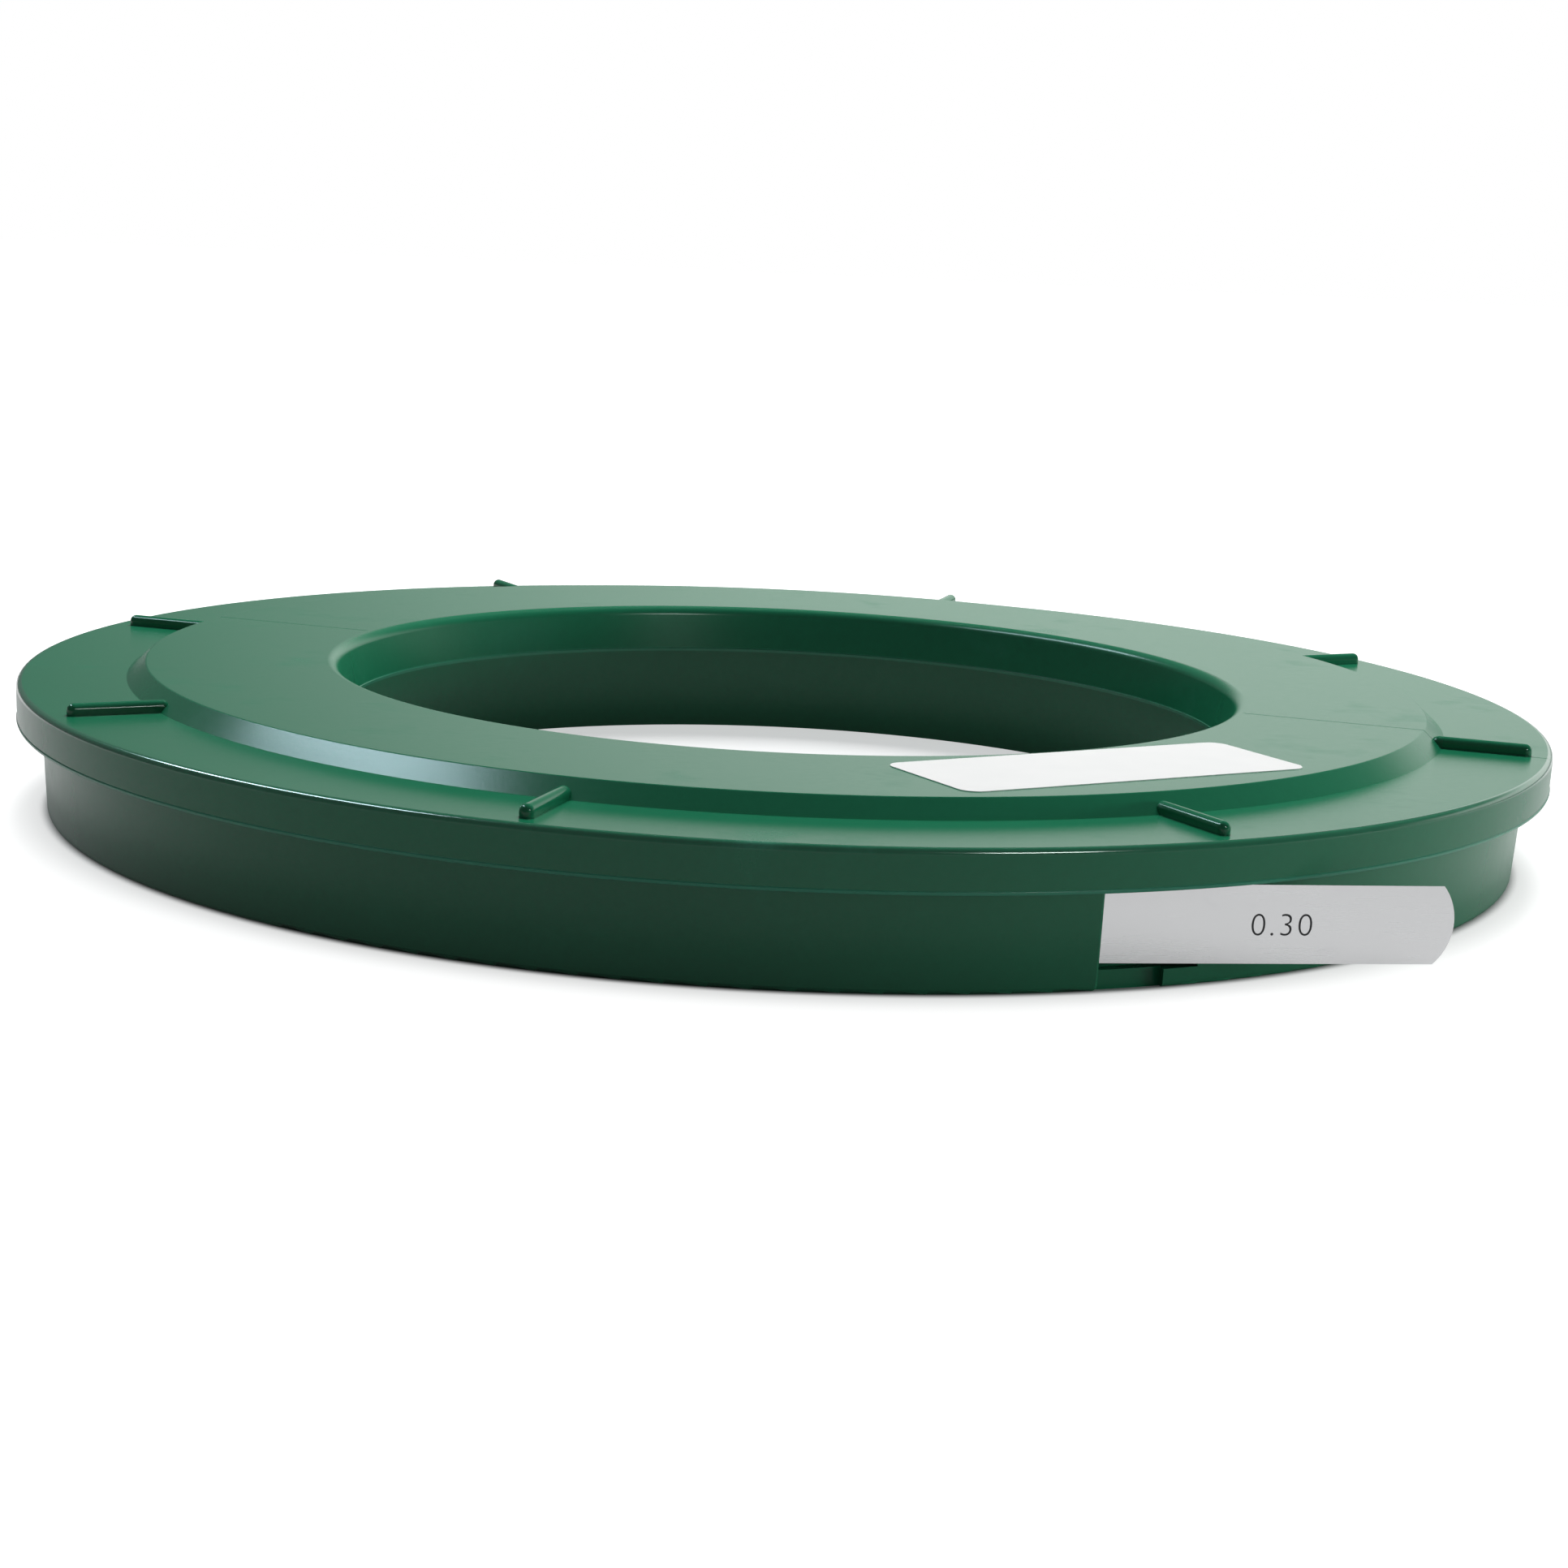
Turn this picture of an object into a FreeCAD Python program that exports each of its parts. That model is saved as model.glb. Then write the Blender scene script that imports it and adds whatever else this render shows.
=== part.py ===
"""A ring-shaped plastic case that dispenses thin steel strip.

The tray holds a loose coil of strip. The coil's free end leaves the tray
through a slot in its outer wall, straight along +X. The lid's outer skirt
laps over the tray's wall and its inner skirt goes down into the bore.

Frame: millimetres, +Z up, the origin on the ring's axis at table level.
The slot is on the -Y side, and angles are counted from -Y towards +X.
"""
import FreeCAD, Part
import math
import os
import Sketcher

# alias: (value, what it is). Lengths in millimetres, angles in degrees.
DRIVING_SIZES = {
    "lid_radius": (146.3, "outer radius of the lid, the widest part of the case"),
    "lid_thickness": (2.0, "wall of the lid's band, slope and plateau"),
    "lid_clearance": (0.4, "gap between the lid's skirts and the tray's walls"),
    "lid_edge_fillet": (1.1, "rounding of the lid's outer edge"),
    "band_width": (20.0, "flat outer band, from the lid's edge to the foot of the slope"),
    "slope_run": (3.5, "width of the slope between band and plateau, seen from above"),
    "slope_fillet": (0.5, "rounding along the top of the slope"),
    "plateau_rise": (3.1, "step from the band up to the plateau"),
    "skirt_depth": (7.3, "outer skirt, from the band's top to its lower edge"),
    "skirt_taper": (0.2, "how much narrower the skirt's foot is than the lid"),
    "skirt_thickness": (3.9, "outer skirt's wall at the band's top"),
    "skirt_foot_fillet": (0.6, "rounding of both skirts' lower edges"),
    "plateau_width": (35.6, "flat plateau, from the slope to the lid's bore"),
    "bore_edge_fillet": (1.8, "rounding of the plateau's edge at the bore"),
    "bore_skirt_depth": (9.6, "inner skirt, from the plateau to its lower edge"),
    "bore_skirt_taper": (1.7, "how much narrower the bore is at the inner skirt's foot"),
    "bore_skirt_thickness": (1.8, "wall of the inner skirt"),
    "rib_count": (8, "short ribs on the band"),
    "rib_angle": (19.1, "angle of the first rib"),
    "rib_width": (2.5, "width of a rib, whose top and ends are half round"),
    "rib_height": (2.1, "height of a rib above the band"),
    "rib_end_inset": (3.9, "from the rib's outer end to the lid's edge"),
    "rib_root": (2.0, "how far the rib's inner end runs into the slope"),
    "wall_thickness": (2.0, "both walls of the tray"),
    "wall_draft": (1.4, "how much narrower the tray is at the table than at its top"),
    "wall_foot_fillet": (1.0, "rounding of the outer wall's lower edge"),
    "bore_wall_taper": (1.8, "how much wider the tray's bore is at the table than at its top"),
    "floor_rise": (1.75, "height of the two rims that hold the floor off the table"),
    "floor_thickness": (2.0, "tray's floor"),
    "slot_clearance": (1.8, "room at both ends of the slot beside the strip's way out"),
    "slot_edge_fillet": (0.6, "rounding of the wall's end beside the slot"),
    "sill_length": (11.2, "length of the stretch of wall that is set back under the slot"),
    "sill_recess": (1.5, "how far the sill is set back from the wall's face"),
    "sill_gap": (0.95, "from the sill up to the strip's lower edge"),
    "strip_width": (12.7, "width of the steel strip"),
    "strip_thickness": (0.3, "thickness of the steel strip"),
    "strip_lift": (0.3, "gap between the floor and the strip's lower edge"),
    "strip_headroom": (0.25, "gap between the strip's upper edge and the outer skirt"),
    "strip_inset": (2.9, "from the wall's inside, at its foot, to the free strip's run"),
    "strip_tail": (5.0, "free strip behind the point where it leaves the coil"),
    "free_length": (41.0, "free strip beyond the slot, up to the tip"),
    "tip_radius": (9.2, "radius of the cut end"),
    "tip_centre_rise": (6.85, "centre of the cut end's arc above the strip's lower edge"),
    "coil_gap": (0.3, "gap between the coil's last turn and the free strip"),
    "coil_pitch": (0.9, "distance from turn to turn"),
    "coil_half_turns": (12, "half turns in the coil"),
    "label_length": (70.0, "sticker on the plateau, along the ring"),
    "label_outer_margin": (8.2, "from the sticker's outer side to the plateau's edge"),
    "label_inner_margin": (2.4, "from the sticker's inner side to the bore"),
    "label_thickness": (0.12, "thickness of the sticker"),
    "label_corner": (3.0, "corner radius of the sticker"),
    "label_angle": (21.1, "angle of the sticker's middle"),
}

doc = FreeCAD.newDocument("StripCase")
sheet = doc.addObject("Spreadsheet::Sheet", "Sizes")


class Size:
    """A size of the sheet, or one worked out from several: its formula and its number."""

    def __init__(self, formula, number):
        self.formula = formula
        self.number = number

    def join(self, sign, other, number):
        return Size("(%s %s %s)" % (self.formula, sign, other.formula), number)

    def __add__(self, other):
        other = as_size(other)
        return self.join("+", other, self.number + other.number)

    def __sub__(self, other):
        other = as_size(other)
        return self.join("-", other, self.number - other.number)

    def __mul__(self, other):
        other = as_size(other)
        return self.join("*", other, self.number * other.number)

    def __truediv__(self, other):
        other = as_size(other)
        return self.join("/", other, self.number / other.number)

    def __neg__(self):
        return as_size(0) - self


def as_size(value):
    """The value as a Size: a plain number becomes one without a cell."""
    if isinstance(value, Size):
        return value
    return Size(repr(float(value)), float(value))


def square_root(value):
    return Size("sqrt(%s)" % value.formula, math.sqrt(value.number))


def fill_sheet():
    """Write the driving sizes into the sheet and return them by name."""
    named = {}
    for row, (alias, (value, meaning)) in enumerate(DRIVING_SIZES.items(), 1):
        sheet.set("A%d" % row, alias)
        sheet.set("B%d" % row, str(value))
        sheet.set("C%d" % row, meaning)
        sheet.setAlias("B%d" % row, alias)
        named[alias] = Size("Sizes." + alias, float(value))
    doc.recompute()
    return named


size = fill_sheet()


def new_body(label):
    body = doc.addObject("PartDesign::Body", label)
    body.Label = label
    return body


def origin_feature(body, role):
    """A plane or axis of the body's own origin, by its role."""
    return next(f for f in body.Origin.OriginFeatures if f.Role == role)


def new_sketch(body, name, plane, lift=None, turn=None):
    """A sketch on one of the body's origin planes, moved out by lift and turned by turn."""
    sketch = body.newObject("Sketcher::SketchObject", name)
    sketch.AttachmentSupport = [(origin_feature(body, plane), "")]
    sketch.MapMode = "FlatFace"
    if lift is not None:
        sketch.setExpression("AttachmentOffset.Base.z", lift.formula)
    if turn is not None:
        sketch.setExpression("AttachmentOffset.Rotation.Angle", turn.formula)
    return sketch


def bind(sketch, constraint, value):
    """Add a constraint whose value follows the sheet."""
    index = sketch.addConstraint(constraint)
    sketch.setExpression("Constraints[%d]" % index, value.formula)


def place_point(sketch, curve, end, across, up):
    """Hold one end of a curve at (across, up) from the sketch's origin."""
    for kind, line, value in (("DistanceX", -2, across), ("DistanceY", -1, up)):
        value = as_size(value)
        if value.formula == "0.0":
            sketch.addConstraint(Sketcher.Constraint("PointOnObject", curve, end, line))
        else:
            rule = Sketcher.Constraint(kind, -1, 1, curve, end, value.number)
            bind(sketch, rule, value)


def vector(across, up):
    return FreeCAD.Vector(as_size(across).number, as_size(up).number, 0)


def draw_outline(sketch, corners):
    """A closed outline of straight lines with each corner held in place."""
    count = len(corners)
    for i in range(count):
        start = vector(*corners[i])
        end = vector(*corners[(i + 1) % count])
        sketch.addGeometry(Part.LineSegment(start, end))
    for i in range(count):
        sketch.addConstraint(Sketcher.Constraint("Coincident", i, 2, (i + 1) % count, 1))
        place_point(sketch, i, 1, *corners[i])


def draw_ring_sector(sketch, inner, outer, left, right):
    """A piece of the ring on the -Y side, between two radii and cut off at two places in x."""

    def arc(radius):
        circle = Part.Circle(FreeCAD.Vector(), FreeCAD.Vector(0, 0, 1), radius.number)
        first = -math.acos(left.number / radius.number)
        last = -math.acos(right.number / radius.number)
        return Part.ArcOfCircle(circle, first, last)

    def drop(radius, across):
        return -math.sqrt(radius.number ** 2 - across.number ** 2)

    sketch.addGeometry(arc(outer))
    sketch.addGeometry(arc(inner))
    for across in (left, right):
        far = FreeCAD.Vector(across.number, drop(outer, across), 0)
        near = FreeCAD.Vector(across.number, drop(inner, across), 0)
        sketch.addGeometry(Part.LineSegment(far, near))
    for curve, radius in ((0, outer), (1, inner)):
        sketch.addConstraint(Sketcher.Constraint("Coincident", curve, 3, -1, 1))
        bind(sketch, Sketcher.Constraint("Radius", curve, radius.number), radius)
    for line, end, across in ((2, 1, left), (3, 2, right)):
        sketch.addConstraint(Sketcher.Constraint("Coincident", 0, end, line, 1))
        sketch.addConstraint(Sketcher.Constraint("Coincident", 1, end, line, 2))
        sketch.addConstraint(Sketcher.Constraint("Vertical", line))
        rule = Sketcher.Constraint("DistanceX", -1, 1, line, 1, across.number)
        bind(sketch, rule, across)


def revolve(body, name, sketch, axis="V_Axis"):
    turned = body.newObject("PartDesign::Revolution", name)
    turned.Profile = sketch
    turned.ReferenceAxis = (sketch, [axis])
    turned.Angle = 360
    doc.recompute()
    return turned


def pad(body, name, sketch, length, both_ways=False):
    feature = body.newObject("PartDesign::Pad", name)
    feature.Profile = sketch
    feature.setExpression("Length", length.formula)
    if both_ways:
        feature.SideType = "Symmetric"
    doc.recompute()
    return feature


def cut_upwards(body, name, sketch, length):
    """A pocket from the sketch towards +Z, checked to take something away."""
    before = body.Shape.Volume
    feature = body.newObject("PartDesign::Pocket", name)
    feature.Profile = sketch
    feature.Reversed = True
    feature.setExpression("Length", length.formula)
    doc.recompute()
    if body.Shape.Volume >= before:
        raise RuntimeError(name + " cuts nothing")
    return feature


def round_edges(body, name, chosen, radius):
    """A fillet on every edge of the body's tip that chosen() accepts."""
    tip = body.Tip
    names = ["Edge%d" % (i + 1) for i, edge in enumerate(tip.Shape.Edges) if chosen(edge)]
    if not names:
        raise RuntimeError(name + " finds no edge")
    feature = body.newObject("PartDesign::Fillet", name)
    feature.Base = (tip, names)
    feature.setExpression("Radius", radius.formula)
    doc.recompute()
    return feature


NEAR = 0.01


def rim(radius, height):
    """A test for the edges that run round the axis at this radius and height."""

    def is_on_rim(edge):
        middle = edge.valueAt((edge.FirstParameter + edge.LastParameter) / 2)
        level = abs(middle.z - height.number) < NEAR
        flat = edge.BoundBox.ZLength < NEAR
        return level and flat and abs(math.hypot(middle.x, middle.y) - radius.number) < NEAR

    return is_on_rim


# Radii that the pieces share, from the lid's edge inwards.
slope_foot_radius = size["lid_radius"] - size["band_width"]
plateau_radius = slope_foot_radius - size["slope_run"]
lid_bore_radius = plateau_radius - size["plateau_width"]
wall_top_radius = size["lid_radius"] - size["skirt_thickness"] - size["lid_clearance"]
wall_foot_radius = wall_top_radius - size["wall_draft"]
wall_inside = wall_foot_radius - size["wall_thickness"]
strip_offset = wall_inside - size["strip_inset"]

# Heights that the pieces share, from the table up. The strip's width sets the lid's place.
floor_level = size["floor_rise"] + size["floor_thickness"]
strip_foot = floor_level + size["strip_lift"]
strip_top = strip_foot + size["strip_width"]
skirt_foot = strip_top + size["strip_headroom"]
band_height = skirt_foot + size["skirt_depth"]
plateau_height = band_height + size["plateau_rise"]
band_underside = band_height - size["lid_thickness"]
plateau_underside = plateau_height - size["lid_thickness"]
sill_level = strip_foot - size["sill_gap"]


def run_reach(radius):
    """How far along the free strip's run a circle round the axis crosses it."""
    return square_root(radius * radius - strip_offset * strip_offset)


# The slot lies where the run crosses the wall. The tip is beyond it.
slot_start = run_reach(wall_inside) - size["slot_clearance"]
slot_end = run_reach(wall_top_radius) + size["slot_clearance"]
tip_reach = slot_end + size["free_length"]


def wall_face(height):
    """Radius of the tray's outer wall at a height."""
    return wall_foot_radius + size["wall_draft"] / band_underside * height


def bore_face(height):
    """Radius of the tray's bore at a height: it widens towards the table."""
    top = lid_bore_radius + size["bore_skirt_thickness"] + size["lid_clearance"]
    slope = size["bore_wall_taper"] / plateau_underside
    return top + slope * (plateau_underside - height)


def make_base_tray():
    """Outer wall, floor on two standing rims, bore wall, and the slot with its sill."""
    tray = new_body("base_tray")
    wall = size["wall_thickness"]
    floor = floor_level
    section = new_sketch(tray, "tray_section", "XZ_Plane")
    draw_outline(
        section,
        [
            (wall_foot_radius, 0),
            (wall_top_radius, band_underside),
            (wall_top_radius - wall, band_underside),
            (wall_face(floor) - wall, floor),
            (bore_face(floor) + wall, floor),
            (bore_face(plateau_underside) + wall, plateau_underside),
            (bore_face(plateau_underside), plateau_underside),
            (bore_face(as_size(0)), 0),
            (bore_face(as_size(0)) + wall, 0),
            (bore_face(as_size(0)) + wall, size["floor_rise"]),
            (wall_inside, size["floor_rise"]),
            (wall_inside, 0),
        ],
    )
    revolve(tray, "tray_ring", section)

    sill_end = slot_start + size["sill_length"]
    set_back = size["sill_recess"]

    backing = new_sketch(tray, "sill_backing_outline", "XY_Plane")
    draw_ring_sector(
        backing,
        wall_inside - set_back,
        wall_foot_radius - wall / 2,
        slot_start - wall,
        sill_end + wall,
    )
    pad(tray, "sill_backing", backing, sill_level)

    recess = new_sketch(tray, "sill_recess_outline", "XY_Plane")
    outside = wall_top_radius + wall
    draw_ring_sector(recess, wall_foot_radius - set_back, outside, slot_start, sill_end)
    cut_upwards(tray, "sill_recess", recess, sill_level)

    slot = new_sketch(tray, "slot_outline", "XY_Plane", lift=sill_level)
    draw_ring_sector(slot, wall_inside - set_back, outside, slot_start, slot_end)
    cut_upwards(tray, "exit_slot", slot, band_underside)

    def is_slot_corner(edge):
        box = edge.BoundBox
        middle = edge.valueAt((edge.FirstParameter + edge.LastParameter) / 2)
        upright = box.ZLength > band_underside.number / 3
        at_start = abs(middle.x - slot_start.number) < NEAR
        face = wall_face(as_size(middle.z)).number
        return upright and at_start and abs(math.hypot(middle.x, middle.y) - face) < NEAR

    round_edges(tray, "slot_edge_fillet", is_slot_corner, size["slot_edge_fillet"])
    foot = rim(wall_foot_radius, as_size(0))
    round_edges(tray, "wall_foot_fillet", foot, size["wall_foot_fillet"])
    return tray


def add_ribs(lid):
    """Radial ribs from the slope outwards: each is a bar under a round bar with ball ends."""
    half = size["rib_width"] / 2
    far = size["lid_radius"] - size["rib_end_inset"] - half
    near = slope_foot_radius - size["rib_root"] + half
    shoulder = size["rib_height"] - half

    foot = new_sketch(lid, "rib_outline", "XY_Plane", band_height, size["rib_angle"])
    corners = [(half, -far), (half, -near), (-half, -near), (-half, -far)]
    for start, end in (corners[:2], corners[2:]):
        foot.addGeometry(Part.LineSegment(vector(*start), vector(*end)))
    for start, tip, end in ((3, -far - half, 0), (1, half - near, 2)):
        arc = Part.Arc(vector(*corners[start]), vector(0, tip), vector(*corners[end]))
        foot.addGeometry(arc)
    for line, end, corner in ((0, 1, 0), (0, 2, 1), (1, 1, 2), (1, 2, 3)):
        place_point(foot, line, end, *corners[corner])
    for line, end, arc, arc_end in ((0, 1, 2, 2), (0, 2, 3, 1), (1, 1, 3, 2), (1, 2, 2, 1)):
        foot.addConstraint(Sketcher.Constraint("Coincident", line, end, arc, arc_end))
    for arc, reach in ((2, far), (3, near)):
        bind(foot, Sketcher.Constraint("DistanceY", arc, 3, -1, 1, reach.number), reach)
    bar = pad(lid, "rib_bar", foot, shoulder)

    side = new_sketch(lid, "rib_side", "XZ_Plane")
    side.AttachmentOffset = FreeCAD.Placement(
        FreeCAD.Vector(), FreeCAD.Rotation(FreeCAD.Vector(0, 1, 0), 1)
    )
    lift = band_height + shoulder
    side.setExpression("AttachmentOffset.Base.y", lift.formula)
    side.setExpression("AttachmentOffset.Rotation.Angle", (size["rib_angle"] - 90).formula)
    side.addGeometry(Part.LineSegment(vector(near - half, 0), vector(far + half, 0)))
    side.addGeometry(Part.LineSegment(vector(near, half), vector(far, half)))
    for middle, first in ((near, math.pi / 2), (far, 0)):
        ball = Part.Circle(vector(middle, 0), FreeCAD.Vector(0, 0, 1), half.number)
        side.addGeometry(Part.ArcOfCircle(ball, first, first + math.pi / 2))
    for line, end, across, up in (
        (0, 1, near - half, 0),
        (0, 2, far + half, 0),
        (1, 1, near, half),
        (1, 2, far, half),
    ):
        place_point(side, line, end, across, up)
    for line, end, arc, arc_end in ((0, 1, 2, 2), (1, 1, 2, 1), (0, 2, 3, 1), (1, 2, 3, 2)):
        side.addConstraint(Sketcher.Constraint("Coincident", line, end, arc, arc_end))
    for arc in (2, 3):
        side.addConstraint(Sketcher.Constraint("PointOnObject", arc, 3, -1))
    round_bar = revolve(lid, "rib_round", side, "H_Axis")

    ribs = lid.newObject("PartDesign::PolarPattern", "ribs")
    ribs.Originals = [bar, round_bar]
    ribs.Axis = (origin_feature(lid, "Z_Axis"), [""])
    ribs.Angle = 360
    ribs.setExpression("Occurrences", size["rib_count"].formula)
    lid.Tip = ribs
    doc.recompute()


def make_lid():
    """Band, slope, plateau and both skirts in one section, then the ribs."""
    lid = new_body("lid")
    skirt_inside = size["lid_radius"] - size["skirt_thickness"]
    bore_foot = plateau_height - size["bore_skirt_depth"]
    bore_foot_radius = lid_bore_radius - size["bore_skirt_taper"]
    shell = size["lid_thickness"]
    inner = size["bore_skirt_thickness"]
    lean = size["bore_skirt_taper"] / size["bore_skirt_depth"] * shell
    section = new_sketch(lid, "lid_section", "XZ_Plane")
    draw_outline(
        section,
        [
            (size["lid_radius"] - size["skirt_taper"], skirt_foot),
            (size["lid_radius"], band_height),
            (slope_foot_radius, band_height),
            (plateau_radius, plateau_height),
            (lid_bore_radius, plateau_height),
            (bore_foot_radius, bore_foot),
            (bore_foot_radius + inner, bore_foot),
            (lid_bore_radius - lean + inner, plateau_underside),
            (plateau_radius - shell, plateau_underside),
            (slope_foot_radius - shell, band_underside),
            (skirt_inside, band_underside),
            (skirt_inside, skirt_foot),
        ],
    )
    revolve(lid, "lid_ring", section)

    outer_edge = rim(size["lid_radius"], band_height)
    round_edges(lid, "lid_edge_fillet", outer_edge, size["lid_edge_fillet"])
    bore_edge = rim(lid_bore_radius, plateau_height)
    round_edges(lid, "bore_edge_fillet", bore_edge, size["bore_edge_fillet"])
    slope_top = rim(plateau_radius, plateau_height)
    round_edges(lid, "slope_fillet", slope_top, size["slope_fillet"])
    outer_foot = rim(size["lid_radius"] - size["skirt_taper"], skirt_foot)
    inner_foot = rim(bore_foot_radius, bore_foot)

    def is_skirt_foot(edge):
        return outer_foot(edge) or inner_foot(edge)

    round_edges(lid, "skirt_foot_fillet", is_skirt_foot, size["skirt_foot_fillet"])
    add_ribs(lid)
    return lid


def make_strip_tongue():
    """The strip's straight free end, with its rounded cut at the tip."""
    tongue = new_body("strip_tongue")
    side = new_sketch(tongue, "tongue_outline", "XZ_Plane", lift=strip_offset)
    centre = tip_reach - size["tip_radius"]
    rise = size["tip_centre_rise"]
    fall = size["strip_width"] - rise
    low = centre + square_root(size["tip_radius"] * size["tip_radius"] - rise * rise)
    high = centre + square_root(size["tip_radius"] * size["tip_radius"] - fall * fall)
    corners = [
        (high, strip_top),
        (-size["strip_tail"], strip_top),
        (-size["strip_tail"], strip_foot),
        (low, strip_foot),
    ]
    for start, end in zip(corners, corners[1:]):
        side.addGeometry(Part.LineSegment(vector(*start), vector(*end)))
    middle = vector(tip_reach, strip_foot + rise)
    side.addGeometry(Part.Arc(vector(*corners[3]), middle, vector(*corners[0])))
    for line in range(3):
        place_point(side, line, 1, *corners[line])
        side.addConstraint(Sketcher.Constraint("Coincident", line, 2, line + 1, 1))
    place_point(side, 2, 2, *corners[3])
    side.addConstraint(Sketcher.Constraint("Coincident", 3, 2, 0, 1))
    tip = size["tip_radius"]
    bind(side, Sketcher.Constraint("Radius", 3, tip.number), tip)
    pad(tongue, "tongue_sheet", side, size["strip_thickness"], both_ways=True)
    return tongue


def make_strip_coil():
    """The wound strip: one unbroken band of half turns, each a little smaller than the last."""
    pitch = size["coil_pitch"].number
    thickness = size["strip_thickness"].number
    half_turns = int(size["coil_half_turns"].number)
    last_turn = strip_offset.number - thickness - size["coil_gap"].number
    height = strip_foot.number

    def turn_arcs(shift):
        """The half turns of one face of the band, from the outside in."""
        arcs = []
        for k in range(half_turns):
            side = 1 if k % 2 == 0 else -1
            centre = FreeCAD.Vector(0, -side * pitch / 4, height)
            radius = last_turn - (2 * k + 1) * pitch / 4 + shift
            start = centre + FreeCAD.Vector(0, -side * radius, 0)
            middle = centre + FreeCAD.Vector(-side * radius, 0, 0)
            end = centre + FreeCAD.Vector(0, side * radius, 0)
            arcs.append(Part.Arc(start, middle, end).toShape())
        return arcs

    outer = turn_arcs(thickness / 2)
    inner = turn_arcs(-thickness / 2)
    caps = []
    for k, end in ((0, 0), (-1, 1)):
        far = outer[k].Vertexes[end].Point
        near = inner[k].Vertexes[end].Point
        caps.append(Part.makeLine(far, near))
    band = Part.Face(Part.Wire(Part.__sortEdges__(outer + inner + caps)))
    coil = doc.addObject("Part::Feature", "strip_coil")
    coil.Label = "strip_coil"
    coil.Shape = band.extrude(FreeCAD.Vector(0, 0, size["strip_width"].number))
    coil.Placement = FreeCAD.Placement()
    report_coil(half_turns, last_turn, pitch, thickness)
    return coil


def report_coil(half_turns, last_turn, pitch, thickness):
    """Print the wound length and the least gap between turns, measured on points."""
    rings = []
    length = 0.0
    steps = 90
    for k in range(half_turns):
        side = 1 if k % 2 == 0 else -1
        radius = last_turn - (2 * k + 1) * pitch / 4
        length += math.pi * radius
        points = []
        for step in range(steps + 1):
            angle = math.pi * step / steps
            across = -side * radius * math.sin(angle)
            along = -side * pitch / 4 - side * radius * math.cos(angle)
            points.append((across, along))
        rings.append(points)
    least = min(
        math.dist(a, b)
        for first, second in zip(rings, rings[2:])
        for a, b in zip(first, second)
    )
    print("coil: %.0f mm wound, least gap between turns %.2f mm" % (length, least - thickness))


def make_label():
    """The rounded sticker, which lies on the plateau."""
    label = new_body("blank_label")
    turn = size["label_angle"]
    outline = new_sketch(label, "label_outline", "XY_Plane", plateau_height, turn)
    half = size["label_length"] / 2
    near = -(lid_bore_radius + size["label_inner_margin"])
    far = size["label_outer_margin"] - plateau_radius
    draw_outline(outline, [(-half, far), (half, far), (half, near), (-half, near)])
    pad(label, "label_sheet", outline, size["label_thickness"])

    def is_corner(edge):
        upright = abs(edge.BoundBox.ZLength - size["label_thickness"].number) < NEAR / 10
        return upright and edge.BoundBox.XLength < NEAR

    round_edges(label, "label_corners", is_corner, size["label_corner"])
    return label


pieces = [
    make_base_tray(),
    make_lid(),
    make_strip_tongue(),
    make_strip_coil(),
    make_label(),
]
doc.recompute()

for item in doc.Objects:
    if "Invalid" in item.State or "Error" in item.State:
        raise RuntimeError("%s failed: %s" % (item.Name, item.State))

os.makedirs("parts", exist_ok=True)
for piece in pieces:
    shape = piece.Shape
    if shape.isNull() or not shape.isValid() or len(shape.Solids) != 1:
        raise RuntimeError(piece.Label + " is not one valid solid")
    shape.exportStep("parts/%s.step" % piece.Label)
    box = shape.optimalBoundingBox(False)
    low = (box.XMin, box.YMin, box.ZMin)
    high = (box.XMax, box.YMax, box.ZMax)
    print("%-14s %9.0f mm3" % (piece.Label, shape.Volume), end="  ")
    print("%.1f %.1f %.1f to %.1f %.1f %.1f" % (low + high))
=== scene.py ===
# %% [markdown]
# This lesson dresses a strip dispenser case: a flat ring of green moulded
# plastic, almost 293 mm across, with a coil of thin steel strip inside. The end
# of the strip comes out of a slot and carries its thickness as a plain number.
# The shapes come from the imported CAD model. Here they get a camera, light and
# finishes, and the lid gets a finer mesh, because its rims catch the light.

# %% Load the frame
import math

import bpy
from mathutils import Matrix, Vector


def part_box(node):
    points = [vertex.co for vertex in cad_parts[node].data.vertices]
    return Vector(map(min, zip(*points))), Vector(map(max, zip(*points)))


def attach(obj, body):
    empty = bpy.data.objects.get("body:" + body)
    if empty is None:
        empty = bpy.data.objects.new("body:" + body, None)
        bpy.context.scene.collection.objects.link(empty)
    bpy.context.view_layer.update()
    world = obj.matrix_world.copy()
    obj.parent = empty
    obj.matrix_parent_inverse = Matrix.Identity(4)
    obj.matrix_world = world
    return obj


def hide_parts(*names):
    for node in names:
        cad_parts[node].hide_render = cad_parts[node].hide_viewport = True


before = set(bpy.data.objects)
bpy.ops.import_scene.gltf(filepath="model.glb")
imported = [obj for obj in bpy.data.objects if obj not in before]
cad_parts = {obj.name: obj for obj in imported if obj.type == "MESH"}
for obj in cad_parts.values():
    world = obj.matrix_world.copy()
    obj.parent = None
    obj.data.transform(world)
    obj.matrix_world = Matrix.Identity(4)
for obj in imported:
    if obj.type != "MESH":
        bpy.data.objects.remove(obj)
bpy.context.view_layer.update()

MM = 0.001

# %% [markdown]
# The camera comes first, because every later choice is judged through it. Its
# place was worked out from the photograph's ellipses: the rims of the ring are
# circles, and only one camera turns them all into the ellipses that are seen.
# It stands low and a little left of the front, looks down by 11 degrees, and is
# rolled by almost 3 degrees, so that the case seems to lean to the right.

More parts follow.
